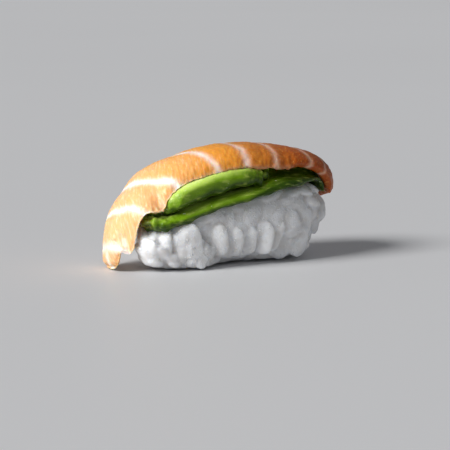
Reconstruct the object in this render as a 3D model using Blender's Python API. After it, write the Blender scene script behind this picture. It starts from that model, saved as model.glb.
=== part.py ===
"""Salmon nigiri: a hand-pressed mound of rice, two slices of avocado laid along it, and a slice of
salmon draped over the top, with a long end that hangs down to the table and a short one.

Metres, +Z up. +X runs along the nigiri from the salmon's long end to its short end, and -Y is the side
where the avocado shows. The origin is on the table, below the middle of the whole.
"""

import math

import bmesh
import bpy
import numpy as np
from mathutils import Vector

MM = 0.001

# From the middle of the whole to the middle of the rice's foot.
FOOT_OFFSET = (1.2 * MM, 0.03 * MM, 0.0)

# The clearance that neighbouring pieces keep.
GAP = 0.3 * MM

# The middle surface of the salmon slice, by its edge on the avocado's side, its crown and its far edge.
# Each runs from the tip on the table to the short end. Millimetres from the middle of the rice's foot.
# A slice is thinner at its edges, by EDGE_LOSS. NOSE is the share of it, at its ends and at its sides,
# that its round edge takes up, and STEPS are the mesh's steps along and across the rest.
SALMON_NEAR = (
    (-31.8, -6.6, 0.1),
    (-32.1, -9.0, 3.4),
    (-31.9, -10.0, 7.3),
    (-30.6, -10.9, 5.4),
    (-29.2, -11.3, 9.0),
    (-28.4, -12.2, 13.0),
    (-26.6, -13.0, 15.2),
    (-22.0, -13.5, 15.4),
    (-20.8, -13.4, 19.0),
    (-15.6, -13.0, 22.8),
    (-7.0, -13.0, 24.9),
    (1.0, -12.6, 25.8),
    (9.5, -12.0, 25.1),
    (16.6, -10.6, 24.8),
    (23.4, -9.0, 22.8),
    (27.4, -7.0, 19.4),
    (28.6, -6.0, 15.2),
)
SALMON_CROWN = (
    (-32.9, -2.6, 0.1),
    (-32.5, -2.2, 6.0),
    (-30.2, -1.0, 12.0),
    (-26.0, 0.0, 18.0),
    (-20.8, 0.0, 23.0),
    (-13.0, 0.0, 26.3),
    (-4.0, 0.0, 28.2),
    (6.0, 0.0, 28.5),
    (15.0, 0.0, 27.4),
    (24.0, 0.0, 25.2),
    (29.6, 0.0, 21.0),
    (30.6, 0.0, 14.4),
)
SALMON_FAR = (
    (-31.6, 0.4, 0.1),
    (-30.2, 4.4, 5.6),
    (-26.6, 9.4, 11.4),
    (-19.0, 12.4, 16.4),
    (-6.0, 13.2, 20.4),
    (10.0, 12.8, 21.2),
    (21.0, 11.8, 20.6),
    (27.4, 9.2, 18.0),
    (29.2, 7.0, 13.4),
)
SALMON_THICKNESS = 3.2 * MM
SALMON_EDGE_LOSS = 0.35
SALMON_NOSE = (0.02, 0.06)
SALMON_STEPS = (40, 9)

# The steps of the mesh round a slice's edge.
NOSE_STEPS = 2

# The avocado slices lie flat, one on the other. Their thick edges, where the skin was, face -Y and their
# thin ones, where the stone was, +Y.
LOWER_NEAR = (
    (-26.2, -9.6, 11.4),
    (-23.2, -12.6, 11.0),
    (-17.4, -13.8, 12.8),
    (-8.0, -14.4, 15.9),
    (3.0, -14.4, 18.6),
    (10.0, -13.8, 20.4),
    (17.0, -12.0, 21.6),
    (23.0, -9.4, 22.3),
    (27.0, -7.4, 20.0),
    (28.0, -6.2, 16.0),
)
LOWER_CROWN = (
    (-25.0, 0.0, 14.4),
    (-17.0, 0.0, 18.2),
    (-6.0, 0.0, 21.0),
    (6.0, 0.0, 22.2),
    (16.0, 0.0, 22.4),
    (24.4, 0.0, 21.0),
    (28.4, 0.0, 16.4),
)
LOWER_FAR = (
    (-21.0, 9.6, 12.4),
    (-13.0, 12.2, 15.2),
    (0.0, 13.2, 17.4),
    (12.0, 12.8, 18.4),
    (21.0, 10.8, 18.4),
    (26.6, 7.2, 16.4),
)
LOWER_SKIN_EDGE = 4.6 * MM
LOWER_STONE_EDGE = 2.9 * MM
LOWER_SHORT_END_LOSS = 0.5
LOWER_NOSE = (0.04, 0.08)
LOWER_STEPS = (20, 4)
UPPER_NEAR = (
    (-25.6, -10.8, 14.6),
    (-22.2, -12.8, 15.6),
    (-17.6, -13.7, 18.2),
    (-11.6, -13.9, 20.5),
    (-5.0, -13.8, 22.1),
    (1.6, -13.3, 23.3),
    (6.6, -11.8, 23.8),
    (9.4, -8.4, 24.0),
)
UPPER_CROWN = (
    (-24.0, 0.0, 18.4),
    (-15.0, 0.0, 22.2),
    (-5.0, 0.0, 24.6),
    (4.0, 0.0, 25.4),
    (10.0, 0.0, 25.0),
)
UPPER_FAR = (
    (-19.0, 9.0, 16.8),
    (-12.0, 11.6, 18.8),
    (-3.0, 12.2, 20.0),
    (4.0, 11.4, 20.8),
    (9.0, 8.0, 22.0),
)
UPPER_SKIN_EDGE = 5.4 * MM
UPPER_STONE_EDGE = 3.4 * MM
UPPER_END_LOSS = 0.27
UPPER_NOSE = (0.06, 0.09)
UPPER_STEPS = (14, 4)

# The rice mound: half its length and width, its height above and its depth below its middle, how
# square its corners are, and how much higher its top is and further in its foot at the short end.
RICE_MIDDLE = Vector((1.4 * MM, 0.0, 9.6 * MM))
RICE_HALF = (25.2 * MM, 13.4 * MM)
RICE_ABOVE = 11.2 * MM
RICE_BELOW = 13.4 * MM
RICE_SQUARENESS = 3.0
RICE_RISE = 0.24
RICE_TUCK = 0.16

# The grains that stand out of the mound: half a grain's length and width, and how far they stand out.
GRAINS = 260
GRAIN_HALF = (3.4 * MM, 1.6 * MM)
GRAIN_STAND = (0.6 * MM, 1.2 * MM)
MOUND_SUBDIVISIONS = 5
SEED = 7

# Where the fingers left the mound fuller: the middle of each clump, its reach and its rise. Millimetres.
CLUMPS = (
    ((-16.0, -13.0, 5.0), 7.5, 1.3),
    ((-24.0, -5.0, 5.0), 7.0, 1.2),
    ((-3.0, -13.5, 8.0), 6.0, 0.7),
    ((6.5, -13.0, 7.0), 5.0, 1.0),
    ((16.0, -11.0, 8.0), 6.5, 1.2),
    ((26.5, -5.0, 12.0), 4.5, 2.0),
    ((22.0, 9.0, 9.0), 7.0, 1.2),
    ((4.0, 13.5, 7.0), 7.5, 1.0),
    ((-14.0, 13.0, 8.0), 6.5, 1.2),
)

# The mound's foot arches off the table on the avocado's side: the arch's middle and half its length in X,
# and how far it lifts the mound's lowest point there.
ARCH_MIDDLE = 7.0 * MM
ARCH_HALF = 15.0 * MM
ARCH_RISE = 5.0 * MM

SALMON_COLOUR = (0.80, 0.30, 0.09)
AVOCADO_COLOUR = (0.24, 0.38, 0.06)
RICE_COLOUR = (0.82, 0.81, 0.77)


def in_metres(points):
    return [Vector(p) * MM for p in points]


class Track:
    """A smooth line through a few points, read by its share from 0 to 1."""

    STEPS = 16

    def __init__(self, points):
        ends = [2 * points[0] - points[1], *points, 2 * points[-1] - points[-2]]
        self.line = [points[0]]
        for before, start, end, after in zip(ends, ends[1:], ends[2:], ends[3:]):
            for step in range(1, self.STEPS + 1):
                self.line.append(self.between(before, start, end, after, step / self.STEPS))
        self.run = [0.0]
        for start, end in zip(self.line, self.line[1:]):
            self.run.append(self.run[-1] + (end - start).length)

    @staticmethod
    def between(before, start, end, after, t):
        """A Catmull-Rom curve from start to end."""
        return 0.5 * (
            2 * start
            + (end - before) * t
            + (2 * before - 5 * start + 4 * end - after) * t**2
            + (3 * start - before - 3 * end + after) * t**3
        )

    def at(self, share):
        distance = min(max(share, 0.0), 1.0) * self.run[-1]
        low = 0
        high = len(self.run) - 1
        while high - low > 1:
            middle = (low + high) // 2
            if self.run[middle] <= distance:
                low = middle
            else:
                high = middle
        part = (distance - self.run[low]) / (self.run[high] - self.run[low])
        return self.line[low].lerp(self.line[high], part)


def clear_scene():
    for obj in list(bpy.data.objects):
        bpy.data.objects.remove(obj)


def food_material(name, colour, roughness):
    material = bpy.data.materials.new(name)
    material.use_nodes = True
    shader = material.node_tree.nodes["Principled BSDF"]
    shader.inputs["Base Color"].default_value = (*colour, 1.0)
    shader.inputs["Roughness"].default_value = roughness
    shader.inputs["Metallic"].default_value = 0.0
    return material


def add_piece(name, mesh, material, whole):
    piece = bpy.data.objects.new(name, mesh)
    bpy.context.scene.collection.objects.link(piece)
    piece.parent = whole
    mesh.materials.append(material)
    mesh.shade_smooth()
    return piece


def finished(mesh, name):
    bmesh.ops.recalc_face_normals(mesh, faces=mesh.faces)
    result = bpy.data.meshes.new(name)
    mesh.to_mesh(result)
    mesh.free()
    return result


def slab_shares(flat_steps, nose_share):
    """Shares from 0 to 1 across a slab: close together round both edges, and even between them."""
    nose = [nose_share * (1 - math.cos(math.pi / 2 * k / NOSE_STEPS)) for k in range(NOSE_STEPS + 1)]
    flat = [nose_share + (1 - 2 * nose_share) * k / flat_steps for k in range(1, flat_steps)]
    return nose + flat + [1 - share for share in reversed(nose)]


def rounding(share, nose_share):
    """How much of a slab's thickness is left at this share: a quarter circle at each edge."""
    inward = min(share, 1 - share, nose_share) / nose_share
    return math.sqrt(1 - (1 - inward) ** 2)


class Drape:
    """A slab bent over what lies below it: its middle surface runs from one edge track over the crown
    to the other."""

    FULLNESS = 2.4
    STEP = 0.01

    def __init__(self, near, crown, far, thickness, nose):
        self.near = Track(in_metres(near))
        self.crown = Track(in_metres(crown))
        self.far = Track(in_metres(far))
        self.thickness = thickness
        self.end_nose, self.side_nose = nose

    def middle(self, along, across):
        low = self.near.at(along)
        high = self.far.at(along)
        bulge = self.crown.at(along) - low.lerp(high, 0.5)
        return low.lerp(high, across) + bulge * (1 - abs(2 * across - 1) ** self.FULLNESS)

    def outward(self, along, across):
        step = self.STEP
        lengthwise = self.middle(min(along + step, 1), across) - self.middle(max(along - step, 0), across)
        sideways = self.middle(along, min(across + step, 1)) - self.middle(along, max(across - step, 0))
        return lengthwise.cross(sideways).normalized()

    def half_thickness(self, along, across):
        edge = rounding(along, self.end_nose) * rounding(across, self.side_nose)
        return self.thickness(along, across) / 2 * edge

    def mesh(self, name, steps):
        alongs = slab_shares(steps[0], self.end_nose)
        acrosses = slab_shares(steps[1], self.side_nose)
        mesh = bmesh.new()
        upper = {}
        lower = {}
        for row, along in enumerate(alongs):
            for column, across in enumerate(acrosses):
                place = self.middle(along, across)
                shift = self.outward(along, across) * self.half_thickness(along, across)
                upper[row, column] = mesh.verts.new(place + shift)
                if row in (0, len(alongs) - 1) or column in (0, len(acrosses) - 1):
                    lower[row, column] = upper[row, column]
                else:
                    lower[row, column] = mesh.verts.new(place - shift)
        for row in range(len(alongs) - 1):
            for column in range(len(acrosses) - 1):
                corners = [(row, column), (row + 1, column), (row + 1, column + 1), (row, column + 1)]
                mesh.faces.new([upper[corner] for corner in corners])
                mesh.faces.new([lower[corner] for corner in reversed(corners)])
        return finished(mesh, name)


def salmon_slice():
    def thickness(along, across):
        return SALMON_THICKNESS * (1 - SALMON_EDGE_LOSS * (2 * across - 1) ** 2)

    drape = Drape(SALMON_NEAR, SALMON_CROWN, SALMON_FAR, thickness, SALMON_NOSE)
    return drape.mesh("salmon_slice", SALMON_STEPS)


def lower_avocado_slice():
    def thickness(along, across):
        wedge = LOWER_SKIN_EDGE + (LOWER_STONE_EDGE - LOWER_SKIN_EDGE) * across
        return wedge * (1 - LOWER_SHORT_END_LOSS * along**3)

    drape = Drape(LOWER_NEAR, LOWER_CROWN, LOWER_FAR, thickness, LOWER_NOSE)
    return drape.mesh("lower_avocado_slice", LOWER_STEPS)


def upper_avocado_slice():
    def thickness(along, across):
        wedge = UPPER_SKIN_EDGE + (UPPER_STONE_EDGE - UPPER_SKIN_EDGE) * across
        return wedge * (1 - UPPER_END_LOSS * (2 * along - 1) ** 2)

    drape = Drape(UPPER_NEAR, UPPER_CROWN, UPPER_FAR, thickness, UPPER_NOSE)
    return drape.mesh("upper_avocado_slice", UPPER_STEPS)


def mound_point(way):
    """Where the mound's smooth outline lies in this direction from its middle."""
    stretch = sum(abs(part) ** RICE_SQUARENESS for part in way) ** (-1 / RICE_SQUARENESS)
    x, y, z = way * stretch
    half_height = RICE_ABOVE * (1 + RICE_RISE * x) if z > 0 else RICE_BELOW
    tuck = 1 - RICE_TUCK * (1 + x) * min(0.0, z) ** 2
    return RICE_MIDDLE + Vector((x * RICE_HALF[0] * tuck, y * RICE_HALF[1] * tuck, z * half_height))


def clump_rise(place):
    """How far the mound's outline swells at this place."""
    rise = 0.0
    for middle, reach, height in CLUMPS:
        distance = (place - Vector(middle) * MM).length / (reach * MM)
        rise += height * MM * max(0.0, 1 - distance**2)
    return rise


def arch_lift(place):
    """How far the arch under the avocado's side lifts the mound at this place."""
    reach = max(0.0, 1 - ((place.x - ARCH_MIDDLE) / ARCH_HALF) ** 2)
    side = min(1.0, max(0.0, -place.y / RICE_HALF[1]))
    low = max(0.0, 1 - place.z / RICE_MIDDLE.z)
    return ARCH_RISE * reach * side**2 * low


def grain_relief(points, normals):
    """How far the grains stand out of the smooth mound at each point."""
    random = np.random.default_rng(SEED)
    relief = np.zeros(len(points))
    golden = math.pi * (3 - math.sqrt(5))
    for grain in range(GRAINS):
        height = 1 - (2 * grain + 1) / GRAINS
        ring = math.sqrt(1 - height * height)
        way = Vector((ring * math.cos(golden * grain), ring * math.sin(golden * grain), height))
        middle = np.array(mound_point(way))
        offset = points - middle
        near = int(np.argmin((offset**2).sum(axis=1)))
        turn = random.uniform(0, math.pi)
        lengthwise = np.array(Vector(normals[near]).orthogonal().normalized())
        sideways = np.cross(normals[near], lengthwise)
        lengthwise, sideways = (
            lengthwise * math.cos(turn) + sideways * math.sin(turn),
            sideways * math.cos(turn) - lengthwise * math.sin(turn),
        )
        inside = 1 - (offset @ lengthwise / GRAIN_HALF[0]) ** 2 - (offset @ sideways / GRAIN_HALF[1]) ** 2
        inside[(offset @ normals[near]) ** 2 > GRAIN_HALF[0] ** 2] = 0
        stand = random.uniform(*GRAIN_STAND)
        relief = np.maximum(relief, stand * np.sqrt(np.maximum(inside, 0)))
    return relief


def rice_mound():
    mesh = bmesh.new()
    bmesh.ops.create_icosphere(mesh, subdivisions=MOUND_SUBDIVISIONS, radius=1.0)
    for vert in mesh.verts:
        vert.co = mound_point(vert.co.normalized())
    mesh.normal_update()
    points = np.array([vert.co for vert in mesh.verts])
    normals = np.array([vert.normal for vert in mesh.verts])
    relief = grain_relief(points, normals)
    for vert, normal, height in zip(mesh.verts, normals, relief):
        vert.co += Vector(normal) * (float(height) + clump_rise(vert.co))
        vert.co.z += arch_lift(vert.co)
    stand_flat(mesh)
    return finished(mesh, "rice_mound")


def stand_flat(mesh):
    """Cuts the mesh off at the table and closes it with one flat face."""
    everything = [*mesh.verts, *mesh.edges, *mesh.faces]
    down = (0, 0, -1)
    cut = bmesh.ops.bisect_plane(mesh, geom=everything, plane_co=(0, 0, 0), plane_no=down, clear_outer=True)
    rim = [item for item in cut["geom_cut"] if isinstance(item, bmesh.types.BMEdge)]
    bmesh.ops.contextual_create(mesh, geom=rim)


def clearance_round(piece):
    """A cutter: the piece, larger by the gap all round."""
    cutter = bpy.data.objects.new(piece.name + "_clearance", piece.data)
    bpy.context.scene.collection.objects.link(cutter)
    cutter.parent = piece.parent
    for modifier in piece.modifiers:
        make_room(cutter, modifier.object)
    grow = cutter.modifiers.new("Grow", "DISPLACE")
    grow.strength = GAP
    grow.mid_level = 0.0
    cutter.hide_render = True
    cutter.display_type = "WIRE"
    return cutter


def make_room(piece, *cutters):
    for cutter in cutters:
        cut = piece.modifiers.new("Room for " + cutter.name, "BOOLEAN")
        cut.operation = "DIFFERENCE"
        cut.object = cutter


clear_scene()
whole = bpy.data.objects.new("nigiri", None)
bpy.context.scene.collection.objects.link(whole)
whole.location = FOOT_OFFSET

salmon_flesh = food_material("salmon_flesh", SALMON_COLOUR, 0.35)
avocado_flesh = food_material("avocado_flesh", AVOCADO_COLOUR, 0.3)
boiled_rice = food_material("boiled_rice", RICE_COLOUR, 0.45)
salmon = add_piece("salmon", salmon_slice(), salmon_flesh, whole)
avocado_upper = add_piece("avocado_upper", upper_avocado_slice(), avocado_flesh, whole)
avocado_lower = add_piece("avocado_lower", lower_avocado_slice(), avocado_flesh, whole)
rice = add_piece("rice", rice_mound(), boiled_rice, whole)

# What lies above presses its shape into what lies below.
salmon_room = clearance_round(salmon)
make_room(avocado_upper, salmon_room)
upper_room = clearance_round(avocado_upper)
make_room(avocado_lower, salmon_room, upper_room)
lower_room = clearance_round(avocado_lower)
make_room(rice, salmon_room, upper_room, lower_room)
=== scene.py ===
"""The looks of a salmon and avocado nigiri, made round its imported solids."""

import math

import bmesh
import bpy
import numpy as np
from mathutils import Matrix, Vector, noise
from mathutils.bvhtree import BVHTree
from mathutils.kdtree import KDTree


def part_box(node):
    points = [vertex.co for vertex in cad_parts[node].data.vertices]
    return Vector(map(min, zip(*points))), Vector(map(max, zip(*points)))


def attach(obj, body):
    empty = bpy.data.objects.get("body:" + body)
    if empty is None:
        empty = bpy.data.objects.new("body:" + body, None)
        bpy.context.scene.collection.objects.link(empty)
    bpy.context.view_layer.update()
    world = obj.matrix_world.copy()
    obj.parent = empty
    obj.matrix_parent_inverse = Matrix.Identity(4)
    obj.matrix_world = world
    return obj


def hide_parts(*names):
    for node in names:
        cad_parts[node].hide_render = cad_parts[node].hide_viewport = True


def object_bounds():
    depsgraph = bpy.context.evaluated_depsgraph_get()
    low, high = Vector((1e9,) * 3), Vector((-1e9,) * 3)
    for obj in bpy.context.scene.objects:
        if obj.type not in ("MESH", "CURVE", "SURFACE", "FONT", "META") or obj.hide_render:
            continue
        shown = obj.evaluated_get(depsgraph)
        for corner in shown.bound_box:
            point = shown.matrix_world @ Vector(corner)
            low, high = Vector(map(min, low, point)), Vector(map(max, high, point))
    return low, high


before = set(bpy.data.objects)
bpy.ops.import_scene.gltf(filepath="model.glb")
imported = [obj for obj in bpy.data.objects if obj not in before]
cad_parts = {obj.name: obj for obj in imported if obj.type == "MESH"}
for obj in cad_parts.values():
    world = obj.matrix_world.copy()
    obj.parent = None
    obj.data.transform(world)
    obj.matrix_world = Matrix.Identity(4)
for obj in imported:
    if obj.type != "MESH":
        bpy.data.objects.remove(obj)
cad_box = [list(corner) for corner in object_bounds()]
MM = 0.001


# ---------------------------------------------------------------------------------------------------
# The rice.
# Boiled short-grain rice, pressed in the hand until its starch holds it together. The grains are
# plump, a little bent and swollen until they touch, and they run into each other where they stick.

CORE_VOXEL = 0.6 * MM
CORE_INSET = 1.0 * MM
NEAR_FILL = 0.40 * MM
GRAIN_LENGTH = 7.6 * MM
GRAIN_WIDTH = 3.8 * MM
GRAIN_DEPTH = 2.5 * MM
GRAIN_SPACING = 3.0 * MM
GRAIN_TRIES = 14000
FUSED_VOXEL = 0.27 * MM
# The near left corner is fuller than the solid's, and the near side's foot spreads (how far, in mm, by X
# in mm): it leaves the board between the two feet. The short right end draws in (mm, by Z in mm).
CORNER_PUSH = (-1.9 * MM, -4.3 * MM, 0.2 * MM)
FOOT_SPREAD = ((-25, 0), (-21, 0.5), (-14, 2.5), (-9, 3), (-6, 0), (5, 0), (9, 2.0), (17, 2.2), (24, 0))
FOOT_HEIGHT = 7 * MM
END_TUCK = 4.5 * MM
RIGHT_TRIM = ((0, 1.2), (3, 1.8), (6, 2.0), (9, 1.8), (11, 0.6), (14, 0.0))
# Where the grains of the tucked end are pressed smooth: the middle and reach, in mm.
SQUEEZED_CORNER = (-27.0, -9.0, 7.5)
SQUEEZED_REACH = (6.0, 8.0, 9.0)
# Where the proud grains of the near side are broken and crumbly: the middle and reach, in mm.
CRUMBLED = (-13.0, -14.0, 6.0)
CRUMBLED_REACH = 6.0

# Grains that stand out along the near side: where each one's middle is (X and Z in mm), how far its
# top leans to the right and how far its right flank turns out (degrees), its size next to an ordinary
# grain's (length, width and depth), and how far it stands proud (mm).
NEAR_GRAINS = (
    (-23.8, 6.6, 2, 10, 1.45, 1.75, 1.10, 0.35),
    (-23.0, 3.4, -22, 12, 0.95, 1.50, 1.00, 0.35),
    (-21.6, 1.6, -62, 0, 0.95, 1.20, 1.00, 0.3),
    (-20.0, 7.4, 4, 24, 1.15, 1.80, 0.80, -0.1),
    (-19.6, 3.8, -24, 16, 0.85, 1.50, 1.00, 0.3),
    (-17.6, 2.4, 16, 14, 0.75, 1.25, 1.00, 0.4),
    (-17.0, 7.2, -2, 28, 1.10, 1.60, 0.80, 0.1),
    (-22.4, 5.0, 30, 0, 0.95, 1.50, 1.00, 0.25),
    (-14.0, 7.6, -6, 18, 1.25, 2.05, 1.15, 0.85),
    (-11.4, 5.2, -34, 14, 1.05, 1.75, 1.15, 0.85),
    (-9.5, 5.6, -40, 0, 0.45, 0.80, 0.90, 1.0),
    (-15.2, 2.8, 10, 8, 0.70, 1.10, 1.00, 0.5),
    (-12.9, 1.9, 4, 6, 0.60, 0.95, 1.00, 0.8),
    (-8.9, 1.9, -50, 0, 0.60, 0.90, 0.90, 0.7),
    (-7.8, 4.2, 20, 10, 0.55, 1.05, 1.10, 0.9),
    (-10.4, 3.4, -30, 0, 0.42, 0.80, 1.00, 1.15),
    (-10.8, 1.5, -12, 0, 0.45, 0.80, 0.90, 0.85),
    (-16.8, 1.6, 12, 0, 0.50, 0.85, 0.90, 0.6),
    (-7.6, 1.0, 84, 0, 0.95, 0.85, 0.90, 0.3),
    (-8.6, 8.8, 0, 0, 1.10, 1.60, 0.80, -0.35),
    (-5.2, 7.2, -2, 24, 1.10, 1.40, 0.95, 0.25),
    (-3.6, 3.9, 0, 12, 0.60, 0.90, 0.90, 0.3),
    (-2.0, 2.2, 55, 0, 0.65, 0.80, 0.90, 0.4),
    (-1.4, 6.4, 6, 28, 1.08, 1.85, 0.85, -0.30),
    (2.4, 6.6, 8, 28, 1.12, 1.95, 0.85, -0.30),
    (6.8, 7.0, 13, 28, 1.18, 2.10, 0.85, -0.40),
    (12.8, 5.0, 24, 22, 1.25, 2.10, 0.80, 0.0),
    (18.2, 5.0, 24, 22, 1.15, 1.80, 0.80, 0.05),
    (14.8, 10.2, 12, 12, 1.00, 2.00, 0.80, -0.45),
    (19.8, 10.0, 10, 14, 1.05, 1.90, 0.80, -0.3),
    (11.2, 11.8, 30, 8, 1.00, 1.50, 1.00, -0.2),
    (13.4, 1.8, 80, 0, 1.00, 0.95, 1.00, 0.1),
    (25.2, 12.4, 20, 10, 0.85, 1.40, 1.10, 0.1),
    (23.6, 16.6, 20, 0, 0.80, 1.30, 1.10, 0.1),
)


def take_solid(node, name):
    """A new piece that starts as a merged copy of one of the frame's solids."""
    bpy.ops.object.select_all(action="DESELECT")
    piece = bpy.data.objects.new(name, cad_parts[node].data.copy())
    bpy.context.scene.collection.objects.link(piece)
    piece.data.materials.clear()
    piece.select_set(True)
    bpy.context.view_layer.objects.active = piece
    bpy.ops.object.mode_set(mode="EDIT")
    bpy.ops.mesh.select_all(action="SELECT")
    bpy.ops.mesh.remove_doubles(threshold=0.01 * MM)
    bpy.ops.object.mode_set(mode="OBJECT")
    return piece


def apply_modifier(piece, kind, **settings):
    bpy.context.view_layer.objects.active = piece
    modifier = piece.modifiers.new(kind.title(), kind)
    for setting, value in settings.items():
        setattr(modifier, setting, value)
    bpy.ops.object.modifier_apply(modifier=modifier.name)


def points_and_normals(piece):
    count = len(piece.data.vertices)
    points = np.empty(count * 3, np.float32)
    normals = np.empty(count * 3, np.float32)
    piece.data.vertices.foreach_get("co", points)
    piece.data.vertices.foreach_get("normal", normals)
    return points.reshape(-1, 3).astype(float), normals.reshape(-1, 3).astype(float)


def move_points(piece, points):
    piece.data.vertices.foreach_set("co", points.astype(np.float32).ravel())
    piece.data.update()


def add_attribute(piece, name, values):
    kind, slot = ("FLOAT", "value") if values.ndim == 1 else ("FLOAT_VECTOR", "vector")
    attribute = piece.data.attributes.new(name, kind, "POINT")
    attribute.data.foreach_set(slot, values.astype(np.float32).ravel())


def roughness_at(points, wave, seed):
    """Smooth random values from -1 to 1 with bumps about one wave long."""
    shift = Vector((seed * 7.3, seed * 3.1, seed * 5.7))
    return np.array([noise.noise(Vector(point) / wave + shift) for point in points])


class Wire:
    """A socket in a material's nodes. Arithmetic on values adds Math nodes."""

    def __init__(self, tree, socket):
        self.tree = tree
        self.socket = socket

    def node(self, kind, settings, inputs, output=0):
        made = self.tree.nodes.new(kind)
        for name, setting in settings.items():
            if name == "stops":
                ramp = made.color_ramp.elements
                while len(ramp) < len(setting):
                    ramp.new(1.0)
                for stop, (position, colour) in zip(ramp, setting):
                    stop.position = position
                    stop.color = (*colour, 1.0)
            else:
                setattr(made, name, setting)
        for name, value in inputs.items():
            if isinstance(value, Wire):
                self.tree.links.new(value.socket, made.inputs[name])
            else:
                made.inputs[name].default_value = value
        return Wire(self.tree, made.outputs[output])

    def maths(self, operation, first, second=0.0, clamp=False):
        return self.node("ShaderNodeMath", {"operation": operation, "use_clamp": clamp}, {0: first, 1: second})

    def __add__(self, other):
        return self.maths("ADD", self, other)

    __radd__ = __add__

    def __sub__(self, other):
        return self.maths("SUBTRACT", self, other)

    def __rsub__(self, other):
        return self.maths("SUBTRACT", other, self)

    def __mul__(self, other):
        return self.maths("MULTIPLY", self, other)

    __rmul__ = __mul__

    def __truediv__(self, other):
        return self.maths("DIVIDE", self, other)

    def __pow__(self, other):
        return self.maths("POWER", self, other)

    def between(self, low, high):
        """0 at low, 1 at high and smooth in between."""
        settings = {"interpolation_type": "SMOOTHSTEP"}
        return self.node("ShaderNodeMapRange", settings, {"Value": self, "From Min": low, "From Max": high})

    def stretched(self, x, y, z):
        """A place whose distances are multiplied along each way."""
        return self.node("ShaderNodeVectorMath", {"operation": "MULTIPLY"}, {0: self, 1: (x, y, z)})

    def speckle(self, size, detail=2.0, roughness=0.5):
        """Soft noise from 0 to 1 at this place, with specks of about this size."""
        inputs = {"Vector": self, "Scale": 1 / size, "Detail": detail, "Roughness": roughness}
        return self.node("ShaderNodeTexNoise", {}, inputs)

    def cells(self, size, feature="F1"):
        inputs = {"Vector": self, "Scale": 1 / size}
        return self.node("ShaderNodeTexVoronoi", {"feature": feature}, inputs)

    def tint(self, low, high):
        """A colour: low where this value is 0, high where it is 1."""
        settings = {"data_type": "RGBA"}
        inputs = {0: self}
        for index, colour in ((6, low), (7, high)):
            inputs[index] = colour if isinstance(colour, Wire) else (*colour, 1.0)
        return self.node("ShaderNodeMix", settings, inputs, output=2)

    def bump(self, height, below=None):
        """A normal from this height, in metres for a value of 1."""
        inputs = {"Height": self, "Distance": height, "Strength": 1.0}
        if below is not None:
            inputs["Normal"] = below
        return self.node("ShaderNodeBump", {}, inputs)


def new_material(name, **constants):
    """A material, its shader, and the place on the object that its patterns read."""
    material = bpy.data.materials.new(name)
    material.use_nodes = True
    tree = material.node_tree
    shader = tree.nodes["Principled BSDF"]
    for socket, value in constants.items():
        shader.inputs[socket.replace("_", " ")].default_value = value
    coordinates = tree.nodes.new("ShaderNodeTexCoord")
    return material, shader, Wire(tree, coordinates.outputs["Object"])


def plug(shader, **wires):
    for socket, wire in wires.items():
        wire.tree.links.new(wire.socket, shader.inputs[socket.replace("_", " ")])


def rice_material(name):
    """Wet boiled rice: nearly white and cloudy, glossy where the starch is smooth; its colour has painted light on
    the crests, painted shade in the hollows and painted glints in white flecks.
    """
    material, shader, place = new_material(
        name,
        Subsurface_Weight=1.0,
        Subsurface_Radius=(1.0, 0.93, 0.84),
        Subsurface_Scale=3.0 * MM,
        IOR=1.45,
        Coat_Weight=0.5,
        Coat_Roughness=0.07,
    )
    crest = place.node("ShaderNodeAttribute", {"attribute_name": "crest"}, {}, output="Fac")
    cloud = place.speckle(2.2 * MM, 2.0)
    fleck = place.speckle(0.50 * MM, 1.0)
    # Grains lighter on their crests and greyer in the hollows between them: painted light and painted shade, mixed
    # with a random cloudy tone.
    whole = (crest * 0.7 + cloud * 0.9).between(0.35, 1.10)
    grain = whole.tint((0.71, 0.69, 0.67), (0.89, 0.90, 0.92))
    # Near-white flecks: partly white starch, partly painted glints. The same flecks are also glossier and bumpier.
    starch_fleck_and_painted_glint = fleck.between(0.56, 0.74) * cloud.between(0.38, 0.58)
    plug(
        shader,
        Base_Color=starch_fleck_and_painted_glint.tint(grain, (0.99, 0.99, 0.99)),
        Roughness=0.40 - starch_fleck_and_painted_glint * 0.30,
        Normal=starch_fleck_and_painted_glint.bump(0.16 * MM),
    )
    return material


def oval_out(spot):
    """Which way is out of the mound here, as if its surface were even."""
    low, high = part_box("rice")
    half = (high - low) / 2
    off = spot - (low + high) / 2
    return Vector([(off[i] / half[i]) ** 3 / half[i] for i in range(3)]).normalized()


guide = take_solid("rice", "rice_guide")
guide.data.calc_loop_triangles()
guide_points = [vertex.co.copy() for vertex in guide.data.vertices]
guide_faces = [tuple(triangle.vertices) for triangle in guide.data.loop_triangles]
mound = BVHTree.FromPolygons(guide_points, guide_faces)
bpy.data.objects.remove(guide)

bpy.ops.object.select_all(action="DESELECT")
bpy.ops.mesh.primitive_uv_sphere_add(segments=16, ring_count=12, radius=0.5, rotation=(0, math.pi / 2, 0))
grain = bpy.context.object
bpy.ops.object.transform_apply(location=False, rotation=True, scale=False)
grain_shape, _ = points_and_normals(grain)
along = grain_shape[:, 0] * 2
blunt = np.sqrt((1 - np.abs(along) ** 2.4) / np.maximum(1e-6, 1 - along**2))
grain_shape[:, 1] *= blunt * (1 - 0.10 * along)
grain_shape[:, 2] *= blunt * (1 - 0.06 * along)
grain_shape[:, 1] += 0.10 * (along**2 - 0.4)
grain_faces = [tuple(face.vertices) for face in grain.data.polygons]
bpy.data.objects.remove(grain)
heap_points = []
heap_faces = []


def add_to_heap(points, faces):
    start = sum(len(part) for part in heap_points)
    heap_points.append(points)
    heap_faces.extend(tuple(corner + start for corner in face) for face in faces)


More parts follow.
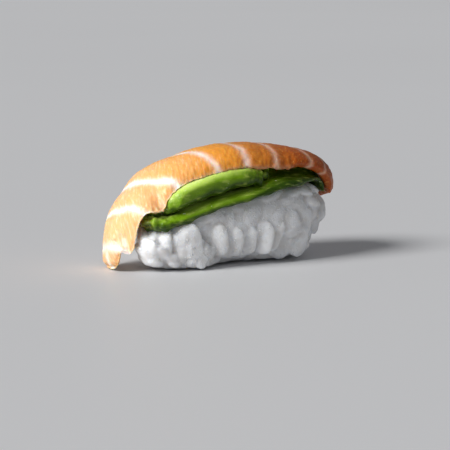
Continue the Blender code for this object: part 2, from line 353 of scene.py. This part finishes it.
def press_on_grain(spot, outward, lean, roll, tilt, size, proud):
    """Angles are in degrees: lean from upright, roll about the grain, tilt of its top end outwards."""
    upright = Vector((0, 0, 1))
    upright = (upright - outward * upright.dot(outward)).normalized()
    sideways = upright.cross(outward)
    lean, roll, tilt = math.radians(lean), math.radians(roll), math.radians(tilt)
    lengthwise = upright * math.cos(lean) + sideways * math.sin(lean)
    lengthwise = lengthwise * math.cos(tilt) + outward * math.sin(tilt)
    across = lengthwise.cross(outward).normalized()
    deep = across.cross(lengthwise)
    across, deep = across * math.cos(roll) + deep * math.sin(roll), deep * math.cos(roll) - across * math.sin(roll)
    lie = np.array([
        lengthwise * (GRAIN_LENGTH * size[0]),
        across * (GRAIN_WIDTH * size[1]),
        deep * (GRAIN_DEPTH * size[2]),
    ])
    middle = spot + outward * (proud - GRAIN_DEPTH * size[2] / 2)
    add_to_heap(grain_shape @ lie + np.array(middle), grain_faces)


random = np.random.default_rng(11)
taken = []
for x, z, lean, roll, long, wide, deep, proud in NEAR_GRAINS:
    spot = mound.ray_cast(Vector((x * MM, -0.05, z * MM)), Vector((0, 1, 0)))[0]
    tilt = 7 if -3 < x < 9 else 0
    press_on_grain(spot, oval_out(spot), lean, roll, tilt, (long, wide, deep), proud * MM)
    outline = math.radians(lean)
    for end in (-0.28, 0.0, 0.28):
        shift = end * GRAIN_LENGTH * long
        taken.append(spot + Vector((math.sin(outline) * shift, 0, math.cos(outline) * shift)))

corners = np.array(guide_points)[np.array(guide_faces)]
across = np.cross(corners[:, 1] - corners[:, 0], corners[:, 2] - corners[:, 0])
areas = np.linalg.norm(across, axis=1)
picks = random.choice(len(corners), GRAIN_TRIES, p=areas / areas.sum())
weights = random.dirichlet((1, 1, 1), GRAIN_TRIES)
spots = (corners[picks] * weights[:, :, None]).sum(axis=1)
taken = np.array(taken)
for pick, spot in zip(picks, spots):
    if spot[2] < 0.5 * MM or across[pick][2] < -0.92 * areas[pick]:
        continue
    if np.linalg.norm(taken - spot, axis=1).min() < GRAIN_SPACING:
        continue
    taken = np.vstack([taken, spot])
    spot = Vector(spot)
    outward = (oval_out(spot) + Vector(across[pick]) / areas[pick] * 0.35).normalized()
    flat_up = max(0.0, min(1.0, (spot.z / MM - 11.5) / 4))
    loose = 22 if spot.y < -5 * MM else 42 if spot.z > 4.5 * MM else 12
    lean = random.normal(8, loose) * (1 - flat_up) + random.normal(68, 22) * flat_up
    roll = random.normal(20 if spot.y < -5 * MM else 5, 10) * (1 - flat_up)
    size = random.uniform((0.86, 1.05, 0.80), (1.14, 1.45, 1.0))
    proud = random.uniform(-0.55, 0.05) * MM
    press_on_grain(spot, outward, lean, roll, random.normal(0, 5), size, proud)

middle = take_solid("rice", "rice_middle")
apply_modifier(middle, "REMESH", mode="VOXEL", voxel_size=CORE_VOXEL, use_smooth_shade=True)
apply_modifier(middle, "SMOOTH", factor=0.5, iterations=6)
middle_points, middle_normals = points_and_normals(middle)
middle_faces = [tuple(face.vertices) for face in middle.data.polygons]
inset = CORE_INSET - NEAR_FILL * np.clip((-4 * MM - middle_points[:, 1]) / (4 * MM), 0, 1)
add_to_heap(middle_points - middle_normals * inset[:, None], middle_faces)
bpy.data.objects.remove(middle)

core_start = sum(len(part) for part in heap_points[:-1])
heap_points = np.concatenate(heap_points)
corner_x = np.clip((-13 * MM - heap_points[:, 0]) / (9 * MM), 0, 1)
corner_y = np.clip((-1 * MM - heap_points[:, 1]) / (5 * MM), 0, 1)
corner_z = np.clip((12.5 * MM - heap_points[:, 2]) / (4 * MM), 0, 1)
fuller = (corner_x * corner_y * corner_z)[:, None] ** 1.5
foot = np.interp(heap_points[:, 0], *np.array(FOOT_SPREAD).T * MM)
foot *= np.clip(1 - heap_points[:, 2] / FOOT_HEIGHT, 0, 1) ** 1.5 * corner_y
heap_points[core_start:] += middle_normals * CORE_INSET * 1.1 * fuller[core_start:]
heap_points += fuller * np.array(CORNER_PUSH)
heap_points[:, 1] -= foot
tucked = np.clip((heap_points[:, 1] + 5 * MM) / (10 * MM), 0, 1)
tucked *= np.clip((-14 * MM - heap_points[:, 0]) / (8 * MM), 0, 1)
tucked *= np.clip((12 * MM - heap_points[:, 2]) / (3 * MM), 0, 1)
heap_points[:, 0] += tucked * END_TUCK
far_right = np.clip((heap_points[:, 0] - 20 * MM) / (6 * MM), 0, 1)
heap_points[:, 0] -= far_right * np.interp(heap_points[:, 2], *np.array(RIGHT_TRIM).T * MM)

heap = bpy.data.meshes.new("rice_grains")
heap.from_pydata(heap_points.tolist(), [], heap_faces)
rice = bpy.data.objects.new("rice_grains", heap)
bpy.context.scene.collection.objects.link(rice)
apply_modifier(rice, "REMESH", mode="VOXEL", voxel_size=FUSED_VOXEL, use_smooth_shade=True)
fused_points, _ = points_and_normals(rice)
apply_modifier(rice, "SMOOTH", factor=0.5, iterations=24)
evened, _ = points_and_normals(rice)
move_points(rice, fused_points)
points, _ = points_and_normals(rice)
squeezed = np.linalg.norm((points / MM - SQUEEZED_CORNER) / SQUEEZED_REACH, axis=1)
soft = rice.vertex_groups.new(name="soft")
for index in np.flatnonzero(squeezed < 1):
    soft.add([int(index)], float(1 - squeezed[index] ** 2), "REPLACE")
apply_modifier(rice, "SMOOTH", factor=0.5, iterations=20, vertex_group="soft")
rice.vertex_groups.clear()
apply_modifier(rice, "SMOOTH", factor=0.5, iterations=4)
points, normals = points_and_normals(rice)
# How far each point stands out of the evened surface; in the colour it makes crests lighter and hollows greyer, as
# painted light and painted shade.
crest = ((points - evened) * normals).sum(axis=1) / (0.6 * MM) + 0.5
pimples = roughness_at(points, 1.6 * MM, 1) * 0.08 + roughness_at(points, 0.8 * MM, 2).clip(0.15, 1) * 0.14
crumbs = np.exp(-((np.linalg.norm(points / MM - CRUMBLED, axis=1) / CRUMBLED_REACH) ** 2))
pimples += crumbs * roughness_at(points, 1.7 * MM, 4) * 0.28
points += normals * (pimples * MM)[:, None]
points = points.clip(*np.array(cad_box))
points[:, 2] = np.maximum(points[:, 2], 0.02 * MM)
move_points(rice, points)
add_attribute(rice, "crest", crest.clip(0, 1))
rice.data.materials.append(rice_material("boiled_rice"))
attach(rice, "root")
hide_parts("rice")


# ---------------------------------------------------------------------------------------------------
# The starch beads.
# Where boiled rice dries in the hand, its starch sets in tiny white beads along the grains. They are
# glossy, and each is stuck half into a grain.

STARCH_BEADS = 1500
STARCH_RADIUS = (0.10 * MM, 0.29 * MM)

bpy.ops.object.select_all(action="DESELECT")
bpy.ops.mesh.primitive_uv_sphere_add(segments=8, ring_count=5, radius=1)
bead = bpy.context.object
bead_shape, _ = points_and_normals(bead)
bead_shape[:, 2] *= 0.6
bead_faces = [tuple(face.vertices) for face in bead.data.polygons]
bpy.data.objects.remove(bead)


def solid_tree(node):
    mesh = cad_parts[node].data
    mesh.calc_loop_triangles()
    faces = [tuple(triangle.vertices) for triangle in mesh.loop_triangles]
    return BVHTree.FromPolygons([vertex.co for vertex in mesh.vertices], faces)


def stick_on_beads(name, hosts, count, radius, covers, clusters, seed):
    """One piece of small beads, set thickest where a slow noise is high, and not under what covers the hosts."""
    random = np.random.default_rng(seed)
    places = np.concatenate([points_and_normals(host)[0] for host in hosts])
    outs = np.concatenate([points_and_normals(host)[1] for host in hosts])
    covers = [solid_tree(node) for node in covers]
    points = []
    faces = []
    stuck = 0
    while stuck < count:
        pick = random.integers(len(places))
        chance = random.random()
        size = random.uniform(*radius) * random.uniform(0.7, 1.0)
        place = Vector(places[pick])
        thick = noise.noise(place / clusters + Vector((seed, 0, 0))) * 1.6 + 0.35
        hidden = min((tree.find_nearest(place)[3] for tree in covers), default=1.0) < 2 * size
        if chance > thick or hidden or place.z < 1 * MM:
            continue
        turned = np.array(Vector(outs[pick]).to_track_quat("Z", "Y").to_matrix())
        centre = np.array(place) - outs[pick] * size * 0.12
        stretch = random.uniform((0.75, 0.75, 0.6), (1.35, 1.1, 1.2))
        faces.extend(tuple(corner + stuck * len(bead_shape) for corner in face) for face in bead_faces)
        points.append(bead_shape * stretch @ turned.T * size + centre)
        stuck += 1
    mesh = bpy.data.meshes.new(name)
    mesh.from_pydata(np.concatenate(points).clip(*np.array(cad_box)).tolist(), [], faces)
    mesh.shade_smooth()
    piece = bpy.data.objects.new(name, mesh)
    bpy.context.scene.collection.objects.link(piece)
    return piece


def starch_material():
    material, shader, place = new_material("dried_starch", IOR=1.45, Coat_Weight=0.5, Coat_Roughness=0.05)
    cloud = place.speckle(0.8 * MM)
    plug(
        shader,
        Base_Color=cloud.tint((0.90, 0.90, 0.91), (0.98, 0.98, 0.98)),
        Roughness=cloud.between(0.3, 0.7) * 0.15 + 0.12,
    )
    return material


starch = stick_on_beads(
    "rice_starch_beads", [rice], STARCH_BEADS, STARCH_RADIUS, ("salmon", "avocado_upper", "avocado_lower"), 5 * MM, 3
)
starch.data.materials.append(starch_material())
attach(starch, "root")


# ---------------------------------------------------------------------------------------------------
# The avocado slices.
# Two slices of ripe avocado, cut lengthwise and peeled. They are soft and moist, deep green where the
# skin was, yellower inside, and they give way to the rice below and the salmon above.

AVOCADO_VOXEL = 0.34 * MM
AVOCADO_ROUNDING = 26
# The groove between the slices on the near side: its height (Z by X, in mm), and how far it sinks.
GROOVE = ((-24, 12.2), (-17.5, 15.4), (-8, 18.6), (3, 20.8), (10, 22.2), (24, 24.0))
GROOVE_SINKS = 1.9 * MM


def avocado_material():
    material, shader, place = new_material(
        "avocado_flesh",
        Subsurface_Weight=0.30,
        Subsurface_Radius=(0.8, 1.0, 0.2),
        Subsurface_Scale=1.6 * MM,
        IOR=1.30,
        Coat_Weight=0.12,
        Coat_Roughness=0.12,
    )
    inner = place.node("ShaderNodeAttribute", {"attribute_name": "inner"}, {}, output="Fac")
    aged = place.node("ShaderNodeAttribute", {"attribute_name": "aged"}, {}, output="Fac")
    blotch = place.stretched(0.6, 1, 1).speckle(3.0 * MM, 2.0)
    vein = place.stretched(0.30, 1, 1).speckle(0.9 * MM, 3.0)
    grit = place.speckle(0.35 * MM, 2.0)
    # This value carries the flesh's own green and also painted light and shade.
    depth = inner + (blotch - 0.5) * 0.5
    # The darkest greens stand for the skin side and also for painted shade.
    skin_side_and_painted_shade = depth.between(0.0, 0.55).tint((0.030, 0.072, 0.001), (0.16, 0.30, 0.006))
    green = depth.between(0.45, 0.95).tint(skin_side_and_painted_shade, (0.46, 0.64, 0.11))
    # The palest, yellowest stop is a painted highlight.
    green = depth.between(0.90, 1.40).tint(green, (0.66, 0.84, 0.26))
    green = (vein.between(0.50, 0.80) * 0.6).tint(green, (0.50, 0.62, 0.12))
    # Brown-orange towards the left end: painted light thrown back from the salmon.
    colour = (aged + (vein - 0.5) * 0.8).between(0.35, 1.0).tint(green, (0.30, 0.24, 0.03))
    plug(
        shader,
        Base_Color=colour,
        Roughness=vein.between(0.3, 0.7) * 0.20 + 0.26,
        Normal=(vein * 0.6 + grit * 0.4).bump(0.30 * MM),
    )
    return material


flesh = avocado_material()
# Each slice: its node, its piece, what covers it, how far it swells on the near side (mm), how much deeper
# its green is, and a seed.
AVOCADO_SLICES = (
    ("avocado_lower", "avocado_slice_lower", ("salmon", "avocado_upper"), 0.5, 0.30, 2),
    ("avocado_upper", "avocado_slice_upper", ("salmon",), 1.5, 0.0, 3),
)


def room_under(points, covers):
    """0 where a slice touches one of the nodes that cover it, 1 where it is free to swell."""
    gaps = []
    for cover in covers:
        tree = solid_tree(cover)
        gaps.append([tree.find_nearest(point)[3] for point in points])
    return np.clip((np.min(gaps, axis=0) - 0.5 * MM) / (1.8 * MM), 0, 1)


avocado = []
for node, name, covers, swell, deeper, seed in AVOCADO_SLICES:
    slice_ = take_solid(node, name)
    apply_modifier(slice_, "REMESH", mode="VOXEL", voxel_size=AVOCADO_VOXEL, use_smooth_shade=True)
    apply_modifier(slice_, "SMOOTH", factor=0.5, iterations=AVOCADO_ROUNDING)
    points, normals = points_and_normals(slice_)
    low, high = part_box(node)
    room = room_under(points, covers)
    near_side = np.clip(-normals[:, 1] * 1.5, 0, 1) * room
    # Lighter where the flesh faces up and darker where it faces down: partly the yellower inner flesh and the deep
    # green skin side, partly painted light on top and painted shade below.
    inner = 0.50 - deeper + 0.60 * normals[:, 2]
    inner += 0.15 * roughness_at(points * (0.4, 1, 1), 4 * MM, seed + 30)
    # Darker green to the right, under the salmon: painted shade.
    inner -= np.interp(points[:, 0], np.array((2, 14)) * MM, (0, 0.60))
    # On the upper slice's upper left the green is lighter still: a painted highlight.
    if node == "avocado_upper":
        inner += np.interp(points[:, 0], np.array((-22, -14, -2)) * MM, (0, 0.5, 0)) * normals[:, 2].clip(0, 1)
    left_end = np.clip((low.x + 9 * MM - points[:, 0]) / (9 * MM), 0, 1)
    torn_end = np.clip((points[:, 0] - high.x + 7 * MM) / (7 * MM), 0, 1) if node == "avocado_upper" else 0
    lumps = 0.15 * room + roughness_at(points * (0.5, 1, 1), 3.0 * MM, seed) * 0.22
    lumps += roughness_at(points, 0.9 * MM, seed + 10) * 0.035
    ragged = left_end + torn_end
    # Lighter green in patches at the left end: painted light.
    inner += 0.25 * left_end * (roughness_at(points, 1.6 * MM, seed + 70) > -0.1)
    inner += 0.6 * torn_end * (roughness_at(points, 1.2 * MM, seed + 60) > 0.05)
    lumps += (left_end + 1.8 * torn_end) * (roughness_at(points, 1.8 * MM, seed + 20) + 0.1) * 1.2
    lumps += ragged * roughness_at(points, 0.9 * MM, seed + 40) * 0.5
    points += normals * (lumps * MM)[:, None]
    points[:, 1] -= near_side * swell * MM
    off_groove = (points[:, 2] - np.interp(points[:, 0], *np.array(GROOVE).T * MM)) / (3.2 * MM)
    beside = np.exp(-(off_groove**2)) * np.clip((-6 * MM - points[:, 1]) / (4 * MM), 0, 1)
    beside *= np.clip((points[:, 0] + 23 * MM) / (7 * MM), 0, 1)
    points[:, 2] -= GROOVE_SINKS * beside
    low_edge = np.clip(-normals[:, 2] * 1.5, 0, 1) * near_side
    points[:, 2] += low_edge * roughness_at(points * (1, 0, 0), 3.4 * MM, seed + 50) * 0.9 * MM
    points = points.clip(*np.array(cad_box))
    move_points(slice_, points)
    add_attribute(slice_, "inner", inner.clip(0, 1.5))
    # Brown-orange at the left end: painted light thrown back from the salmon.
    add_attribute(slice_, "aged", 0.75 * left_end**2)
    slice_.data.materials.append(flesh)
    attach(slice_, "root")
    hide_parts(node)
    avocado.append(slice_)


# ---------------------------------------------------------------------------------------------------
# The drops on the avocado.
# Cut avocado weeps a little, and what runs off the fish wets it too. The drops lie along the
# slices' near side; their pale green-white colour is a painted highlight.

DROPS = 240
DROP_RADIUS = (0.09 * MM, 0.24 * MM)


def drop_material():
    material, shader, place = new_material(
        "avocado_juice", IOR=1.40, Coat_Weight=1.0, Coat_Roughness=0.04, Subsurface_Weight=0.0
    )
    cloud = place.speckle(0.7 * MM)
    plug(
        shader,
        # Pale green-white drops: painted highlight.
        Base_Color=cloud.between(0.35, 0.65).tint((0.45, 0.58, 0.20), (0.86, 0.92, 0.66)),
        Roughness=cloud * 0.1 + 0.05,
    )
    return material


drops = stick_on_beads("avocado_drops", avocado, DROPS, DROP_RADIUS, ("salmon",), 4 * MM, 8)
drops.data.materials.append(drop_material())
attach(drops, "root")


# ---------------------------------------------------------------------------------------------------
# The salmon.
# One slice of raw salmon, cut on the slant across the fillet and laid over everything. White sheets of
# fat part its muscle into bands, and in each band fine fibres run from one sheet to the next.

# Each fat line: where it leaves the near edge, in degrees round the nigiri from the short end's foot,
# how far it leans and bows on its way to the far edge, and half its width in degrees.
FAT_LINES = (
    (166.0, 4.0, 10.0, 2.6),
    (147.0, -2.0, 24.0, 2.0),
    (123.0, 34.0, -14.0, 2.4),
    (100.5, 15.0, 6.0, 2.2),
    (84.5, 3.0, 8.0, 2.0),
    (66.5, 16.0, -4.0, 1.8),
    (46.0, 32.0, -8.0, 1.5),
    (36.0, 32.0, -8.0, 1.1),
)
SALMON_VOXEL = 0.27 * MM
SALMON_ROUNDING = 10
RIM_ANGLE = math.radians(50)
RIM_REACH = 2.0 * MM
RIM_THINNING = 0.7 * MM
HEM_REACH = 1.8 * MM
HEM_DROP = (0.0, -0.3 * MM, -0.7 * MM)
# Where the slice's solid is creased and the soft flesh is not: the middle and reach of each place, in mm.
SOFT_SPOTS = (((-19.5, -13.0, 16.0), 5.0), ((-30.5, -10.0, 9.0), 5.0), ((-32.0, -4.0, 1.0), 4.5))
# Where its edge hangs lower or higher than the solid's: the middle and reach of each place, how far up.
HANGS = (((-28.5, -11.5, 9.0), 3.6, -3.0), ((29.0, -2.4, 16.2), 3.6, 2.2))
# How much thicker the slice is than its solid, in mm, by the degrees round the nigiri.
PLUMPNESS = ((0, -0.5), (25, 0.1), (45, 0.45), (90, 0.25), (120, -0.1), (140, -0.35), (160, -0.6), (180, -0.7))

salmon = take_solid("salmon", "salmon_slice")
plan = bmesh.new()
plan.from_mesh(salmon.data)
rim_spots = [
    start.co.lerp(end.co, part)
    for start, end in (edge.verts for edge in plan.edges if edge.calc_face_angle(0) > RIM_ANGLE)
    for part in (0, 0.25, 0.5, 0.75)
]
plan.free()
rim_tree = KDTree(len(rim_spots))
for index, spot in enumerate(rim_spots):
    rim_tree.insert(spot, index)
rim_tree.balance()

apply_modifier(salmon, "REMESH", mode="VOXEL", voxel_size=SALMON_VOXEL, use_smooth_shade=True)
apply_modifier(salmon, "SMOOTH", factor=0.5, iterations=SALMON_ROUNDING)
points, _ = points_and_normals(salmon)
creased = sum(np.exp(-((np.linalg.norm(points / MM - spot, axis=1) / reach) ** 2)) for spot, reach in SOFT_SPOTS)
soft = salmon.vertex_groups.new(name="soft")
for index in np.flatnonzero(creased > 0.03):
    soft.add([int(index)], min(1.0, float(creased[index])), "REPLACE")
apply_modifier(salmon, "SMOOTH", factor=0.5, iterations=70, vertex_group="soft")
salmon.vertex_groups.clear()

low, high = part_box("salmon")
points, normals = points_and_normals(salmon)
length = max(-low.x, high.x)
turn = np.degrees(np.arctan2(points[:, 2] / high.z, points[:, 0] / length))
share = (points[:, 1] - low.y) / (high.y - low.y)
out = np.stack([points[:, 0] / length**2, points[:, 1] * 0, points[:, 2] / high.z**2], axis=1)
out /= np.linalg.norm(out, axis=1)[:, None]
top_side = ((normals * out).sum(axis=1) * 2 + 0.5).clip(0, 1)
rim_off = np.array([rim_tree.find(point)[2] for point in points])
rim = np.exp(-((rim_off / RIM_REACH) ** 2))
# Paler along the slice's edges, above the foot: painted rim light.
painted_rim_light = rim * np.clip((points[:, 2] - 2 * MM) / (6 * MM), 0, 1)
near = np.clip((0.55 - share) * 4, 0, 1)

wander = roughness_at(points, 7 * MM, 5)
fine_wander = roughness_at(points, 1.6 * MM, 6)
fat = np.zeros(len(points))
for start, lean, bow, half in FAT_LINES:
    path = start + lean * share + bow * share**2
    off = (turn - path + wander * 1.2 + fine_wander * 0.4) / half
    fat = np.maximum(fat, np.exp(-np.abs(off / 1.15) ** 1.5))
fat *= 0.82 + 0.30 * roughness_at(points, 3 * MM, 12)
tongue = np.exp(-(((points[:, 1] + 4.6 * MM + wander * MM) / (1.3 * MM)) ** 2)) * np.clip((turn - 164) / 8, 0, 1)
fat = np.maximum(fat, tongue * 0.65).clip(0, 1)

down = 30 * MM * (1 - np.hypot(points[:, 0] / length, points[:, 2] / high.z))
across = points[:, 1] + (points[:, 1] / (6 * MM)).clip(-1, 1) * down
lengthwise = (turn - 150) * 0.54 * MM
slant = np.radians(np.interp(turn, (100, 180), (75, 48)))
run = np.stack([
    np.cos(slant) * lengthwise - np.sin(slant) * across,
    np.sin(slant) * lengthwise + np.cos(slant) * across,
    points[:, 2] * 0,
], axis=1)
fibre = roughness_at(run * (0.20, 1.0, 1.0), 0.70 * MM, 7)
fringe = near * np.exp(-((rim_off / (5 * MM)) ** 2))
ridged = fringe * np.interp(points[:, 0], np.array((-6, 8)) * MM, (0.10, 0.01))
height = -0.16 * fat + (0.05 + ridged) * fibre * (1 - fat)
height += roughness_at(points, 4 * MM, 8) * 0.14 + roughness_at(points, 0.9 * MM, 14) * 0.07
height += rim * (roughness_at(points, 1.0 * MM, 9) * 0.30 + roughness_at(points, 2.8 * MM, 10) * 0.35)
height += np.interp(turn, *zip(*PLUMPNESS)) * top_side
points += normals * (height * MM)[:, None] - out * (RIM_THINNING * rim * top_side)[:, None]
hem = np.exp(-((rim_off / HEM_REACH) ** 2)) * near
hem *= np.interp(points[:, 0], np.array((-23, -20, 21, 27)) * MM, (0, 1, 1, 0))
torn = np.interp(points[:, 0], np.array((-10, 8)) * MM, (0.15, 0.45))
hem *= 1 + torn * roughness_at(lengthwise[:, None] * (1, 0, 0), 0.9 * MM, 21)
points += np.array(HEM_DROP) * hem[:, None]
for middle, reach, rise in HANGS:
    points[:, 2] += rise * MM * np.exp(-((np.linalg.norm(points / MM - middle, axis=1) / reach) ** 2))
points = points.clip(*np.array(cad_box))
points[:, 2] = np.maximum(points[:, 2], 0.02 * MM)
move_points(salmon, points)
for name, values in (("fat", fat), ("rim", painted_rim_light), ("run", run)):
    add_attribute(salmon, name, values)


def salmon_material():
    material, shader, place = new_material(
        "raw_salmon",
        Subsurface_Weight=0.5,
        Subsurface_Radius=(1.0, 0.42, 0.16),
        Subsurface_Scale=2.2 * MM,
        IOR=1.35,
        Coat_Weight=0.15,
        Coat_Roughness=0.24,
    )
    fat = place.node("ShaderNodeAttribute", {"attribute_name": "fat"}, {}, output="Fac")
    run = place.node("ShaderNodeAttribute", {"attribute_name": "run"}, {}, output="Vector")
    rim = place.node("ShaderNodeAttribute", {"attribute_name": "rim"}, {}, output="Fac")
    patch = place.speckle(6 * MM, 2.0)
    along = place.node("ShaderNodeSeparateXYZ", {}, {0: place}) + (patch - 0.5) * 12 * MM
    short = along.between(-12 * MM, 4 * MM)
    strand = run.stretched(0.16, 1, 1).speckle(0.55 * MM, 3.0, 0.6)
    strand = strand * (1 - short) + run.stretched(0.6, 1, 1).speckle(0.42 * MM, 3.0, 0.6) * short
    thread = run.stretched(0.16, 1, 1).speckle(0.20 * MM, 2.0)
    # From left to right the flesh, its strands and its fat all grow darker and deeper orange, the flesh about 3.5
    # times darker: partly the fish's own colour, partly painted light at the left and painted shade at the right.
    deep = along.between(-8 * MM, 22 * MM).tint((0.86, 0.34, 0.035), (0.43, 0.080, 0.003))
    flesh = along.between(-31 * MM, -2 * MM).tint((0.80, 0.46, 0.215), deep)
    pale = along.between(-31 * MM, 12 * MM).tint((0.95, 0.80, 0.55), (0.78, 0.33, 0.075))
    # Paler strands of fibre: partly the fibres' own colour, partly painted glints.
    flesh = ((strand + (thread - 0.5) * 0.25).between(0.48, 0.80) * 0.75).tint(flesh, pale)
    white = along.between(-20 * MM, 20 * MM).tint((0.94, 0.83, 0.76), (0.80, 0.44, 0.29))
    edge = (fat + (strand - 0.5) * 0.35).between(0.05, 0.95)
    colour = edge.tint(flesh, white)
    # Paler along the edges: painted rim light.
    colour = (rim.between(0.60, 1.0) * 0.32).tint(colour, white)
    plug(
        shader,
        Base_Color=colour,
        Roughness=strand.between(0.3, 0.7) * 0.2 + 0.32,
        Normal=(strand * 0.75 + thread * 0.25).bump(0.10 * MM),
    )
    return material


salmon.data.materials.append(salmon_material())
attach(salmon, "root")
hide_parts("salmon")


# ---------------------------------------------------------------------------------------------------
# The floor, the light and the camera.

FLOOR_SIZE = 4.0
CAMERA_AZIMUTH = -25.0
CAMERA_ELEVATION = 10.0
PIXEL = 0.263 * MM
LENS_PIXELS = 1875
FRAME_PIXELS = 450
SENSOR = 36.0
AIM_RIGHT = 5 * PIXEL
AIM_UP = 33 * PIXEL

bpy.ops.object.select_all(action="DESELECT")
bpy.ops.mesh.primitive_plane_add(size=FLOOR_SIZE)
floor = bpy.context.object
floor.name = "floor"
paper, shader, place = new_material("pale_floor", Roughness=0.55)
plug(shader, Base_Color=place.speckle(0.4).tint((0.84, 0.84, 0.85), (0.88, 0.88, 0.89)))
floor.data.materials.append(paper)

azimuth, elevation = math.radians(CAMERA_AZIMUTH), math.radians(CAMERA_ELEVATION)
back = Vector((
    math.sin(azimuth) * math.cos(elevation),
    -math.cos(azimuth) * math.cos(elevation),
    math.sin(elevation),
))
right = Vector((math.cos(azimuth), math.sin(azimuth), 0))
up = back.cross(right)
camera = bpy.data.objects.new("camera", bpy.data.cameras.new("camera"))
bpy.context.scene.collection.objects.link(camera)
camera.data.sensor_width = SENSOR
camera.data.lens = LENS_PIXELS / FRAME_PIXELS * SENSOR
camera.data.clip_start = 0.01
foot = Vector((1.2 * MM, 0.03 * MM, 0))
camera.location = foot + back * (LENS_PIXELS * PIXEL)
aim = foot + right * AIM_RIGHT + up * AIM_UP - camera.location
camera.rotation_mode = "QUATERNION"
camera.rotation_quaternion = aim.to_track_quat("-Z", "Y")
bpy.context.scene.camera = camera


def sunlight(name, turn, elevation, strength, spread):
    """turn is in degrees to the left of the camera, seen from the nigiri."""
    azimuth = math.radians(CAMERA_AZIMUTH - turn)
    elevation = math.radians(elevation)
    way = Vector((
        math.sin(azimuth) * math.cos(elevation),
        -math.cos(azimuth) * math.cos(elevation),
        math.sin(elevation),
    ))
    light = bpy.data.objects.new(name, bpy.data.lights.new(name, "SUN"))
    bpy.context.scene.collection.objects.link(light)
    light.data.energy = strength
    light.data.angle = math.radians(spread)
    light.rotation_mode = "QUATERNION"
    light.rotation_quaternion = way.to_track_quat("Z", "Y")


sunlight("key", 62, 38, 2.4, 26)

softbox = bpy.data.objects.new("softbox", bpy.data.lights.new("softbox", "AREA"))
bpy.context.scene.collection.objects.link(softbox)
softbox.data.size = 0.06
softbox.data.energy = 0.118
turn, rise = math.radians(CAMERA_AZIMUTH - 46), math.radians(30)
way = Vector((math.sin(turn) * math.cos(rise), -math.cos(turn) * math.cos(rise), math.sin(rise)))
softbox.location = Vector((-6 * MM, 0, 12 * MM)) + way * 0.135
softbox.rotation_mode = "QUATERNION"
softbox.rotation_quaternion = way.to_track_quat("Z", "Y")
softbox.visible_camera = False
lit = bpy.data.collections.new("lit_by_softbox")
for piece in [rice, starch, *avocado, drops, salmon]:
    lit.objects.link(piece)
softbox.light_linking.receiver_collection = lit

world = bpy.data.worlds.new("room")
bpy.context.scene.world = world
world.use_nodes = True
world.node_tree.nodes["Background"].inputs["Color"].default_value = (0.86, 0.88, 0.92, 1)
world.node_tree.nodes["Background"].inputs["Strength"].default_value = 0.18
bpy.context.scene.view_settings.view_transform = "Standard"
